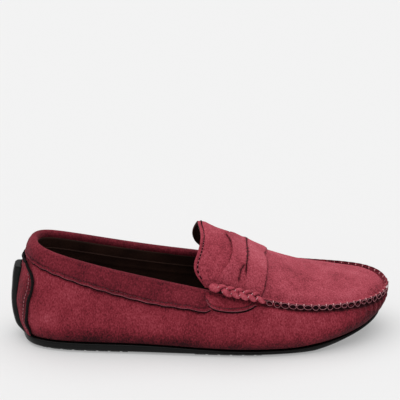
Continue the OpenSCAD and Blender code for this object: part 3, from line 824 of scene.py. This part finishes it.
def build_collar():
    k = np.linspace(-1, 1, 641)
    u = COLLAR_END * k
    s, d = collar_profile(6.4, 17.6, 4.4)
    U, S = np.meshgrid(u, s, indexing="ij")
    D = np.broadcast_to(d, U.shape).copy()
    tall = band_depth(u)
    outer = np.zeros_like(D, bool)
    outer[:, :16] = True
    S = np.where(outer, 4.4 + (S - 4.4) * ((tall[:, None] - 4.4) / 13.2), S)
    rise = tall[:, None] - S  # height above the band's lower edge
    base = on_wall(U, S, D)
    share = np.clip(S / 17.6, 0, 1)
    soft = 0.5 * swell(base, 26, 21) + 0.22 * swell(base, 8, 22)
    belly = 0.9 * np.sin(math.pi * np.clip((S - 1) / 16, 0, 1))
    belly = belly - 0.55 * np.exp(-((rise - 2.0) / 1.0)**2)
    D = D + np.where(outer, belly + soft * share, 0.3 * soft)
    grid = on_wall(U, S, D)
    # painted shade: darker in the stitch groove and towards the lower edge, with a painted
    # highlight just above that edge; the band is also darker at its back
    back = 0.3 * ease(0.3, 0.12, np.abs(k))[:, None]
    stitch_line = 0.4 * np.exp(-((rise - 1.9) / 0.9)**2)
    shade = np.where(outer, stitch_line + 0.1 * ease(12, 2, rise) + back, 0.1)
    shade = shade - 0.3 * np.exp(-((rise - 0.8) / 0.6)**2) * outer
    rim = [on_wall(u[3:-3], tall[3:-3] + 0.15, 1.75 + 0.12 * np.sin(900 * u[3:-3]))]
    place(cord_mesh("collar_raw_edge", rim, 0.34, [CUT_EDGE], sides=6), "suede")
    # a dark cord under the lower edge paints the shadow in the gap beneath it
    gap = [on_wall(u[3:-3], tall[3:-3] + 0.95, 0.45 + 0 * u[3:-3])]
    place(cord_mesh("collar_edge_shadow", gap, 0.6, [SHADE_AND_DARK_EDGE], sides=6), "lining")
    band = hide("collar_band_fold", grid, 1.3, [SUEDE_COLLAR, CUT_EDGE], shade=shade)
    return place(band, "suede", "collar_band", "collar_foam", pad=0.8)


collar = build_collar()


def wall_dashes(u0, u1, pitch, s, d, fill=0.62):
    """A running stitch along the wall, each dash sunk a little at its ends."""
    a0, a1 = np.interp([u0, u1], edge_u, edge_arc)
    count = max(2, int(round((a1 - a0) / pitch)))
    paths = []
    for i in range(count):
        arc = a0 + (i + fill * np.linspace(0, 1, 6)) * (a1 - a0) / count
        u = np.interp(arc, edge_arc, edge_u)
        paths.append(on_wall(u, s(u), d - pulled_in(0.35, 6)))
    return paths


def collar_stitch_s(u):
    """The running stitch keeps 1.9 mm above the band's lower edge all the way round."""
    return band_depth(np.where(u > 0.5, u - 1, u)) - 1.9


collar_rows = []
for first, last in ((0.062, 0.250), (0.750, 0.938)):
    collar_rows += wall_dashes(first, last, 3.4, collar_stitch_s, 1.95)
collar_stitch = cord_mesh("collar_running_stitch", collar_rows, 0.28, [THREAD_DARK], sides=6)
place(collar_stitch, "thread", "collar_thread")
print("collar dashes", len(collar_rows))

# %% [markdown]
# ## Heel patch
# A second piece of suede covers the back seam. Its front edge is cut in a wavy line and painted
# black, and a row of stitches follows it. A texture could draw the line, but the painted edge is
# thick enough to catch light, so the patch is a sheet of its own whose reach at each height comes
# from a short table, with a bead of paint along it.

# %% Heel patch
PATCH_TOP = 0.775  # share of the heel's height
PATCH_EDGE = np.array([  # share of the height, and x of the edge in mm
    [0.0, -130.0], [0.06, -129.6], [0.16, -133.0], [0.30, -131.6], [0.42, -130.6],
    [0.53, -127.6], [0.64, -126.4], [0.73, -128.4], [0.80, -133.0]])


def patch_edge_u(v):
    """How far round the last the patch reaches at each height."""
    us = np.linspace(0.012, 0.12, 240)
    reach = []
    for height, x in zip(v, np.interp(v, PATCH_EDGE[:, 0], PATCH_EDGE[:, 1])):
        reach.append(np.interp(x, at_wall(us, height + 0 * us, 1.7 + 0 * us)[:, 0], us))
    return np.array(reach)


def build_patch():
    v = np.linspace(0.004, PATCH_TOP, 90)
    edge = smoothed(patch_edge_u(v), 4)
    k = np.linspace(-1, 1, 90)
    K, V = np.meshgrid(k, v, indexing="ij")
    U = k[:, None] * edge[None]
    base = at_wall(U, V, 1.6 + 0 * U)
    over_band = 1.1 * ease(0.69, 0.76, V)
    grid = at_wall(U, V, 1.55 + over_band + 0.18 * swell(base, 9, 31) - 0.3 * np.abs(K)**10)
    # the patch is darker overall, and most at its edges
    shade = 0.3 + 0.3 * np.abs(K)**8
    patch = hide("heel_patch_suede", grid, 1.3, [SUEDE_SIDE, BLACK_EDGE], shade=shade)
    place(patch, "suede", "heel_patch")
    up = v[4:]  # the painted edge stops just above the sole
    out = 1.25 + 1.1 * ease(0.69, 0.76, up)
    beads = [at_wall(side * (edge[4:] + 0.0006), up, out) for side in (-1, 1)]
    beads.append(at_wall(edge[-1] * k, v[-1] + 0 * k, 2.3 + 0 * k))
    uneven = lambda x: 1.0 + 0.25 * np.sin(9 * x)**2
    place(cord_mesh("heel_patch_black_edge", beads, uneven, [BLACK_EDGE]), "lining")
    rows = []
    for side in (-1, 1):
        for i in range(16):
            vv = 0.05 + 0.66 * (i + 0.6 * np.linspace(0, 1, 5)) / 16
            uu = np.interp(vv, v, edge) - 0.0062
            rows.append(at_wall(side * uu, vv, 1.85 - pulled_in(0.25)))
    stitch = cord_mesh("heel_patch_stitch", rows, 0.34, [THREAD_MID], sides=6)
    place(stitch, "thread", "heel_patch_thread")
    return len(rows)


print("heel patch stitches", build_patch())

# %% [markdown]
# ## Tongue, strap and slot
# The tongue's back edge is cut with a gentle lobe at each side and topstitched close to the edge.
# The strap lies over tongue and apron. The outlines of tongue, strap and slot are short tables of
# x against the place across the instep, and the tongue is a grid stretched between its back edge
# and a line hidden under the strap. The same grid, moved inwards, makes its leather lining.

# %% Tongue
# x in mm against the distance from the nearer side, 0 at the seam and 0.5 in the middle
STRAP_BACK_X = np.array([
    [0.0, 9], [0.05, 11.5], [0.1, 15.5], [0.13, 18.5], [0.18, 21.2], [0.27, 22.9], [0.4, 21.2],
    [0.5, 17.8]])
STRAP_FRONT_X = np.array([
    [0.0, 43.5], [0.03, 45.5], [0.08, 47.7], [0.17, 49.0], [0.3, 50], [0.42, 49.2], [0.5, 47.6]])
SLOT_X = np.array([
    [0.0, 32.4], [0.1, 32.8], [0.15, 32.7], [0.22, 33.2], [0.32, 34.0], [0.5, 33.4]])
LEG_X = np.array([[0.07, 27.2], [0.14, 28.9], [0.20, 31.8]])  # a crease that branches off the slot
# x in mm against t, from the outer side to the inner
TONGUE_X = np.array([
    [0.0, 3.0], [0.02, -0.6], [0.045, -4.8], [0.075, -6.6], [0.115, -5.4], [0.15, -3.4],
    [0.22, -1.4], [0.3, -0.5], [0.4, -1.2], [0.5, -2.3], [0.6, -2.3], [0.7, -2.6],
    [0.78, -4.2], [0.85, -5.8], [0.885, -6.6], [0.92, -6.0], [0.95, -4.0], [0.97, 0.4],
    [1.0, 4.6]])


def from_side(t):
    """Distance across the instep from the nearer side."""
    return 0.5 - np.abs(np.asarray(t) - 0.5)


def across(table, t):
    """A table's x at t, the same on both sides."""
    return np.interp(from_side(t), table[:, 0], table[:, 1])


def tongue_flick(x, t):
    """The middle of the tongue's back edge lifts a little, in mm, where fingers pull it up."""
    t = np.asarray(t)
    return 0.9 * np.exp(-((x + 2.5) / 4.5)**2) * ease(0.3, 0.45, t) * ease(0.8, 0.62, t)


def tongue_back_p(t):
    """The p of the tongue's back edge at t."""
    return p_at(np.interp(np.asarray(t), TONGUE_X[:, 0], TONGUE_X[:, 1]))


def build_tongue():
    t = 0.5 - 0.495 * np.cos(np.linspace(0, math.pi, 190))
    back = smoothed(tongue_back_p(t), 5)
    k = np.linspace(0, 1, 60)[:, None]
    front = p_at(36.0)
    P = back[None] + (front - back[None]) * k
    T = np.broadcast_to(t[None], P.shape)
    base = top(P, T)
    roll = -0.8 * np.exp(-(k / 0.05)**2)
    flick = tongue_flick(base[..., 0], T)
    soft = 0.3 * swell(base, 22, 41) + 0.1 * swell(base, 7, 42)
    grid = on_top(P, T, roll + soft + flick - 0.35 * np.exp(-((k - 0.07) / 0.02)**2))
    X = grid[..., 0]
    strap_x = across(STRAP_BACK_X, T)
    # painted shade: under the strap's back edge, towards the sides next to the trims, and in the
    # dip behind the stitched edge
    shade = 0.3 * np.exp(-((X - strap_x) / 1.5)**2) * ease(0.15, 0.4, from_side(T))
    shade += 0.2 * ease(0.16, 0.02, from_side(T)) + 0.25 * np.exp(-((k - 0.05) / 0.02)**2)
    tongue = hide("tongue_suede", grid, 1.3, [SUEDE_TONGUE, LINING], shade=shade)
    place(tongue, "suede_light", "tongue")
    grid = on_top(P + 0.0004, T, -1.35 + roll + flick)
    place(hide("tongue_lining_leather", grid, 0.9, [LINING]), "lining", "tongue_lining")
    holes, dots = [], []
    count = 44
    for i in range(count):
        for found, start, long, up in ((holes, 0.0, 0.4, 0.12), (dots, 0.58, 0.22, 0.1)):
            tt = 0.035 + 0.93 * (i + start + long * np.linspace(0, 1, 5)) / count
            pp = np.interp(tt, t, back) + 0.0042
            sunk = 0.6 + 0.3 * np.exp(-((tt - 0.55) / 0.1)**2) + pulled_in(0.2)
            found.append(on_top(pp, tt, up - sunk + tongue_flick(top(pp, tt)[:, 0], tt)))
    # the needle holes are dark cords of painted shade, sunk in the suede
    needle_holes = cord_mesh("tongue_stitch_holes", holes, 0.52, [SHADE_AND_DARK_EDGE], sides=6)
    place(needle_holes, "thread", "tongue_thread")
    place(cord_mesh("tongue_stitch_tops", dots, 0.3, [THREAD_MID], sides=6), "thread")
    return len(dots)


print("tongue stitches", build_tongue())

# %% [markdown]
# ### Saddle strap
# The slot in the strap is what makes a loafer a penny loafer. It could be cut out with a boolean,
# but a true hole needs clean lips on both sides, so the strap is one grid made of a rear and a
# fore panel. Their columns meet at the slot's line and are welded, except where the slot gapes. A
# short crease branches off the slot, where the strap folds as the foot bends.

# %% Saddle strap
PANEL = 44  # rows of points in each panel


def build_strap():
    t = np.linspace(0.005, 0.995, 280)
    outlines = (STRAP_BACK_X, STRAP_FRONT_X, SLOT_X)
    back, front, slot = (smoothed(across(table, t), 8) for table in outlines)
    k = from_side(t)
    gape = 0.5 * ease(0.1, 0.15, k)
    k1 = np.linspace(0, 1, PANEL)
    rear = back[None] + (slot - gape - back)[None] * k1[:, None]
    fore = (slot + gape)[None] + (front - slot - gape)[None] * k1[:, None]
    X = np.concatenate([rear, fore], 0)
    P = p_at(X)
    T = np.broadcast_to(t[None], P.shape)
    base = top(P, T)
    near_back = np.exp(-((X - back[None]) / 1.3)**2)
    near_front = np.exp(-((X - front[None]) / 1.3)**2)
    near_slot = np.exp(-((X - slot[None]) / 2.2)**2) * ease(0.12, 0.2, k)[None]
    leg_x = np.interp(k, LEG_X[:, 0], LEG_X[:, 1])
    leg = np.exp(-((X - leg_x[None]) / 0.8)**2) * (t < 0.5)
    leg = leg * ease(0.06, 0.08, k) * ease(0.2, 0.18, k)
    fade = 0.25 + 0.75 * ease(0.03, 0.16, k)[None]
    D = 1.7 * np.where(X < slot[None], fade, 1.0) - 0.45 * (near_back + near_front)
    D = D + 0.28 * swell(base, 20, 51) + 0.08 * swell(base, 6, 52) + 0.5 * near_slot - 0.7 * leg
    grid = on_top(P, T, D)
    n, m = grid.shape[:2]
    faces = []
    for i, j in np.ndindex(n - 1, m - 1):
        if i == PANEL - 1 and (gape[j] > 0.02 or gape[j + 1] > 0.02):
            continue  # the slot stays open
        a, b = i * m + j, (i + 1) * m + j
        faces.append([a, b, b + 1, a + 1])
    strap = make_piece("saddle_strap_suede", grid, faces, [SUEDE_TOP_PAINTED_LIGHT, SUEDE_TONGUE])
    # painted shade: dark lines at the back edge, at the step of the front edge, along the slot and
    # its crease, and towards the sides; painted light on the fore panel
    dark_back = 0.55 * np.exp(-((X - back[None]) / 0.6)**2) * ease(0.2, 0.42, k)
    dark_front = 0.8 * np.exp(-((X - front[None]) / 0.8)**2)
    dark_slot = 0.45 * np.exp(-((X - slot[None]) / 1.1)**2) * ease(0.1, 0.15, k)
    darken(strap, dark_back + dark_front + dark_slot + 0.7 * leg + 0.15 * ease(0.12, 0.02, k)
           - 0.2 * (X > slot[None]) * ease(0.12, 0.22, k))
    weld = strap.modifiers.new("weld", "WELD")
    weld.merge_threshold = 0.00004
    solid = strap.modifiers.new("thickness", "SOLIDIFY")
    solid.thickness, solid.offset = 1.35 * MM, -1
    solid.material_offset_rim = 1
    place(strap, "suede_light", "saddle_strap")
    # painted shadow under the slot: a dark sheet below the gape
    ks = np.linspace(-1, 1, 7)
    PX = slot[None, 40:-40] + 1.6 * ks[:, None]
    TT = np.broadcast_to(t[None, 40:-40], PX.shape)
    under = hide("slot_shadow_backing", on_top(p_at(PX), TT, 0.32 + 0 * PX), 0.2, [SHADE_AND_DARK_EDGE])
    place(under, "lining")
    rows = []
    count = 22
    q = np.linspace(0, 1, 5)
    for i in range(count):
        tt = 0.20 + 0.60 * (i + 0.75 * q) / count
        xx = np.interp(tt, t, slot) + (2 * q - 1) * 1.25 * (1 if i % 2 else -1)
        rows.append(on_top(p_at(xx), tt, 2.15 - pulled_in(0.2)))
    zigzag = cord_mesh("slot_zigzag_stitch", rows, 0.3, [THREAD_DARK], sides=6)
    place(zigzag, "thread", "slot_thread")
    return len(strap.data.vertices)


print("strap points", build_strap())

# %% [markdown]
# ## Tabs
# Below each end of the strap a rounded tab covers the join of band and wrap. It lies over the
# band's end, so it rises there. Its lower edge is raw: a thin bead stands for the cut fibres,
# and a dark one behind it paints the shadow of the gap under the edge, which is too narrow to
# leave open. Painted shade also darkens its stitch line and its top, under the trim.

# %% Tabs
TAB_MIDDLE, TAB_HALF = 20.2, 18.6  # x and half length, mm
TAB_DEPTH = np.array([  # mm below the top edge, from the tab's back end (-1) to its front (1)
    [-1, 6.0], [-0.94, 9.8], [-0.82, 12.0], [-0.6, 12.7], [-0.2, 12.2], [0.1, 11.2], [0.5, 8.9],
    [0.8, 6.0], [1, 3.0]])


def build_tab(side):
    """One tab with its raw edge; gives the paths of its stitches."""
    ks = np.linspace(-1, 1, 90)
    us = np.linspace(0.2, 0.4, 400)
    u_tab = np.interp(TAB_MIDDLE + TAB_HALF * ks, wall(us, 1.0)[:, 0], us)
    low = smoothed(np.interp(ks, TAB_DEPTH[:, 0], TAB_DEPTH[:, 1]), 4)
    j = np.linspace(0, 1, 30)
    S = low[:, None] + (1.0 - low[:, None]) * j[None]
    U = np.broadcast_to(u_tab[:, None], S.shape)
    over_band = 1.5 * ease(-0.4, -0.75, ks)[:, None]
    rise = low[:, None] - S  # height above the tab's lower edge
    D = 1.9 + over_band + 0.2 * swell(on_wall(U, S, 0 * S), 12, 61)
    D = D - 0.3 * np.exp(-(rise / 0.6)**2) - 0.35 * np.exp(-((rise - 1.7) / 0.6)**2)
    # painted shade along the stitch line and near the top edge, under the trim
    shade = 0.4 * np.exp(-((rise - 1.7) / 0.7)**2) + 0.5 * ease(5.5, 2.5, S)
    if side > 0:
        U, D, shade, S = 1 - U[::-1], D[::-1], shade[::-1], S[::-1]
    name = "lateral" if side < 0 else "medial"
    tab = hide("tab_" + name, on_wall(U, S, D), 1.3, [SUEDE_SIDE, CUT_EDGE], shade=shade)
    place(tab, "suede", "strap_lobe_" + name)
    turn = (lambda w: w) if side < 0 else (lambda w: 1 - w)
    lift = 1.9 + 1.5 * ease(-0.4, -0.75, ks)
    rim = [on_wall(turn(u_tab), low + 0.1, lift - 0.25)]
    place(cord_mesh("tab_raw_edge_" + name, rim, 0.3, [CUT_EDGE], sides=6), "suede")
    # painted shadow in the gap under the lower edge
    gap = [on_wall(turn(u_tab), low + 0.95, lift - 1.35)]
    place(cord_mesh("tab_edge_shadow_" + name, gap, 0.62, [SHADE_AND_DARK_EDGE], sides=6), "lining")
    rows = []
    for i in range(19):
        kk = -0.96 + 1.86 * (i + 0.55 * np.linspace(0, 1, 5)) / 19
        uu, ss, dd = (np.interp(kk, ks, values) for values in (u_tab, low, lift))
        rows.append(on_wall(turn(uu), ss - 1.7, dd - 0.15 - pulled_in(0.25)))
    return rows


tab_rows = build_tab(-1) + build_tab(1)
place(cord_mesh("tab_stitch", tab_rows, 0.3, [THREAD_DARK], sides=6), "thread", "lobe_thread")
print("tab stitches", len(tab_rows))

# %% [markdown]
# ## Rolled trims
# Over each end of the strap lies the rolled trim that loafer makers call a beef roll: suede
# strips plaited round a cord, with the whipping thread showing between them. A twisted tube with
# a bump texture would look flat at its outline, so each strand that can be seen is a fat tapered
# ribbon of its own. Two rows lean towards each other over a core in the near-black of painted
# shade, which shows as dark gaps between them. Painted shade darkens each strand along its sides
# and at its ends, and painted light lightens its outward face.

# %% Rolled trims


def roll_line(side, x):
    """The core's middle line at x, and which way is outwards."""
    us = np.linspace(0.2, 0.42, 800)
    u = np.interp(x, wall(us, 1.0)[:, 0], us)
    if side > 0:
        u = 1 - u
    out = unit(wall_out(u, 0.97 + 0 * u) * [1, 1, 0])
    return wall(u, 1.0) + out * 2.0 + UP * 2.3, out


def round_core(side, x, radius, degrees):
    """Points at a radius and an angle round the core, from outwards (0) to straight up (90)."""
    c, out = roll_line(side, x)
    a = np.radians(degrees)
    return c, c + out * (radius * np.cos(a))[:, None] + UP * (radius * np.sin(a))[:, None]


STRAND_LONG, STRAND_ROUND = 22, 14  # points along a strand and round it


def strand(side, x_mid, reach, angle, slant, wide, thick):
    """One visible strand of the plait: a fat tapered ribbon lying on the round core."""
    q = np.linspace(-1, 1, STRAND_LONG)
    c, mid = round_core(side, x_mid + reach * q, 2.7 + 0.55 * (1 - q**2), angle + slant * q)
    fat = (np.clip(1 - np.abs(q)**2.6, 0.02, 1)**0.6)[:, None, None]
    normal = unit(mid - c)
    sideways = unit(np.cross(unit(np.gradient(mid, axis=0)), normal))
    ang = np.linspace(0, 2 * math.pi, STRAND_ROUND, endpoint=False)[None, :, None]
    return (mid[:, None] + wide * fat * np.cos(ang) * sideways[:, None]
            + thick * fat * np.sin(ang) * normal[:, None])


def build_roll(side):
    name = "lateral" if side < 0 else "medial"
    core, _ = roll_line(side, np.linspace(6, 44.0, 60))
    waist = lambda q: 2.4 * np.clip(np.sin(math.pi * np.clip(q, 0.02, 0.98)), 0, 1)**0.3
    # the core's near-black is painted shade, seen between the strands
    place(cord_mesh("roll_core_" + name, [core], waist, [SHADE_AND_DARK_EDGE], sides=14), "lining")
    strands = [strand(side, 8.8, 4.3, 46, -6, 3.7, 1.9)]
    ends = []
    for i in range(5):
        small = 1.0 - 0.06 * i  # the trim tapers towards the toe
        at = 14.4 + 6.15 * i
        strands.append(strand(side, at, 4.2 * small, 84, 30, 2.7 * small, 2.1))
        strands.append(strand(side, at + 3.2, 4.2 * small, 16, -36, 2.6 * small, 2.1))
        for shift, angle in ((-3.0, 54), (0.7, 26)):
            q = np.linspace(-1, 1, 5)
            ends.append(round_core(side, at + shift + 0.7 * q, 4.55, angle + 14 * q)[1])
    faces = []
    for i in range(len(strands)):
        o = i * STRAND_LONG * STRAND_ROUND
        last = o + (STRAND_LONG - 1) * STRAND_ROUND
        faces += [[o + w for w in f] for f in sheet_faces(STRAND_LONG, STRAND_ROUND, ring_m=True)]
        faces.append([o + w for w in range(STRAND_ROUND)][::-1])
        faces.append([last + w for w in range(STRAND_ROUND)])
    plait = make_piece("roll_plait_" + name, np.stack(strands), faces, [SUEDE_TONGUE])
    ang = np.linspace(0, 2 * math.pi, STRAND_ROUND, endpoint=False)
    q = np.abs(np.linspace(-1, 1, STRAND_LONG))
    # painted shade along each strand's sides and at its ends, painted light on its outward face
    strand_shade = 0.75 - 1.0 * np.clip(np.sin(ang), 0, 1)[None] + 0.3 * q[:, None]**3
    darken(plait, np.broadcast_to(strand_shade, (len(strands),) + strand_shade.shape))
    place(plait, "suede_light", "beef_roll_" + name)
    place(cord_mesh("roll_thread_ends_" + name, ends, 0.3, [THREAD], sides=6), "thread")
    return len(strands)


print("strands in the two trims", build_roll(-1), build_roll(1))

# %% [markdown]
# ## Linings and bed
# The inside is very dark leather. What little light gets in shows the seam that joins the quarter
# lining to its upper strip, and the flat sock over its foam bed. Lining lies as tight as the
# upper does, so each piece is a grid on the same last, moved inwards. The bed's own CAD shapes
# are right and keep their place, with a finish of sock leather.

# %% Linings


def wall_lining(name, node, u, rows, inwards, ridge=0.0):
    """A lining on the wall, from 5 mm above the feather edge to 4 mm below the top edge."""
    foot = wall_height(u)[:, None] - 5.0
    S = foot + (4.0 - foot) * np.linspace(0, 1, rows)[None]
    U = np.broadcast_to(u[:, None], S.shape)
    D = -inwards - ridge * np.exp(-((S - 21) / 0.8)**2)
    place(hide(name, on_wall(U, S, D), 0.8, [LINING]), "lining", node)


u = np.linspace(-0.256, 0.256, 260)
wall_lining("quarter_lining_leather", "quarter_lining", u, 40, 4.3, 0.55)
u = np.linspace(0.25, 0.75, 200)
wall_lining("toe_side_lining_leather", "toe_side_lining", u, 14, 2.6)
P, T = np.meshgrid(np.linspace(0.292, 0.478, 60), np.linspace(0.06, 0.94, 40), indexing="ij")
apron_lining = hide("apron_lining_leather", on_top(P, T, -3.4 + 0 * P), 0.8, [LINING])
place(apron_lining, "lining", "apron_lining")

u = np.linspace(-0.25, 0.25, 300)
strip_seam = [on_wall(u, 13.5 + 0 * u, -5.2 + 0 * u)]
place(cord_mesh("lining_strip_seam", strip_seam, 0.6, [SOCK]), "lining")
ring = edge_ring(np.linspace(0, 1, 400), np.full(400, 5.7))
binding = [np.column_stack([ring, sole_z(ring[:, 0]) + 7.7])]
place(cord_mesh("sock_edge_binding", binding, 1.5, [LINING]), "lining")
for name in ("insole_board", "footbed_foam", "sock_lining", "heel_counter"):
    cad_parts[name].data.materials.clear()
    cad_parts[name].data.materials.append(SOCK)
seam_length = np.linalg.norm(np.diff(strip_seam[0], axis=0), axis=1).sum()
print("lining seam", round(float(seam_length)), "mm")

# %% [markdown]
# ## Floor and light
# A pale seamless floor and one broad overhead light, with an even surround as fill, give the soft
# contact shadow of a product studio. The floor is matt paper. It gives off part of its own light,
# which keeps it as bright as an evenly lit paper sweep without overexposing the shoe.

# %% Floor and lights
floor_mesh = bpy.data.meshes.new("studio_floor")
floor_mesh.from_pydata([(-14, -9, 0), (14, -9, 0), (14, 22, 0), (-14, 22, 0)], [], [(0, 1, 2, 3)])
floor = bpy.data.objects.new("studio_floor", floor_mesh)
bpy.context.scene.collection.objects.link(floor)
floor_paint, tree = new_material("matt_white_paper")
shader = add_node(tree, "ShaderNodeBsdfPrincipled", links={
    "Base Color": (0.56, 0.56, 0.56, 1), "Roughness": 0.95, "Specular IOR Level": 0.1,
    "Emission Color": (1, 1, 1, 1), "Emission Strength": 0.293})
add_node(tree, "ShaderNodeOutputMaterial", links={0: shader.outputs[0]})
floor_mesh.materials.append(floor_paint)

world = bpy.data.worlds.new("studio")
bpy.context.scene.world = world
world.use_nodes = True
world.node_tree.nodes["Background"].inputs[0].default_value = (1, 1, 1, 1)
world.node_tree.nodes["Background"].inputs[1].default_value = 0.52
key = bpy.data.lights.new("overhead_softbox", "SUN")
key.energy = 1.75
key.angle = math.radians(75)
key_object = bpy.data.objects.new("overhead_softbox", key)
key_object.rotation_euler = (math.radians(-8), math.radians(-4), 0)
bpy.context.scene.collection.objects.link(key_object)
bpy.context.scene.view_settings.view_transform = "Standard"

print("floor and", len(bpy.data.lights), "light ready")
